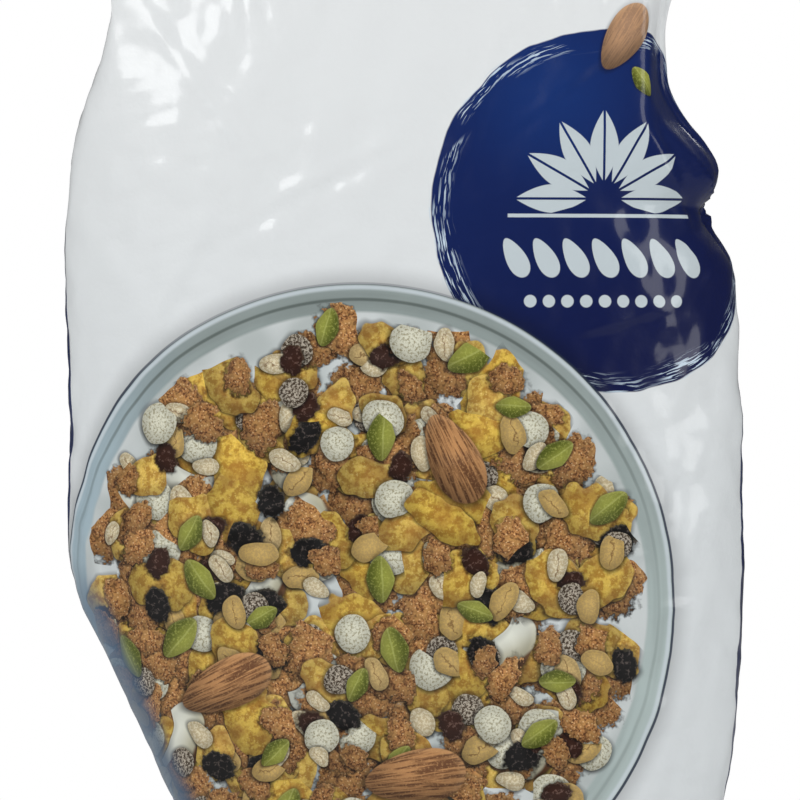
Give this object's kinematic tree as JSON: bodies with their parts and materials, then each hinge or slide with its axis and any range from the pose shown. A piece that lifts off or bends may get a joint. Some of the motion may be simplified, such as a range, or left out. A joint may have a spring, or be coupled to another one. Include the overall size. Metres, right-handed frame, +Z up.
{
  "type": "muesli pouch",
  "caption": "Shut glossy film pouch of muesli, pillow-sided and side-gusseted, with a zigzag-cut top seal, a flat base, a dented side and a pushed-in lower corner.",
  "frame": {"origin": "middle of the bounding box, on the surface that the pouch stands on", "axes": "+Z up through the seal, -Y out of the printed front, +X to the right as seen from the front"},
  "size_m": [0.1982, 0.07, 0.318],
  "materials": {
    "film": "glossy"
  },
  "bodies": {
    "root": {"pouch": "film"}
  },
  "joints": []
}
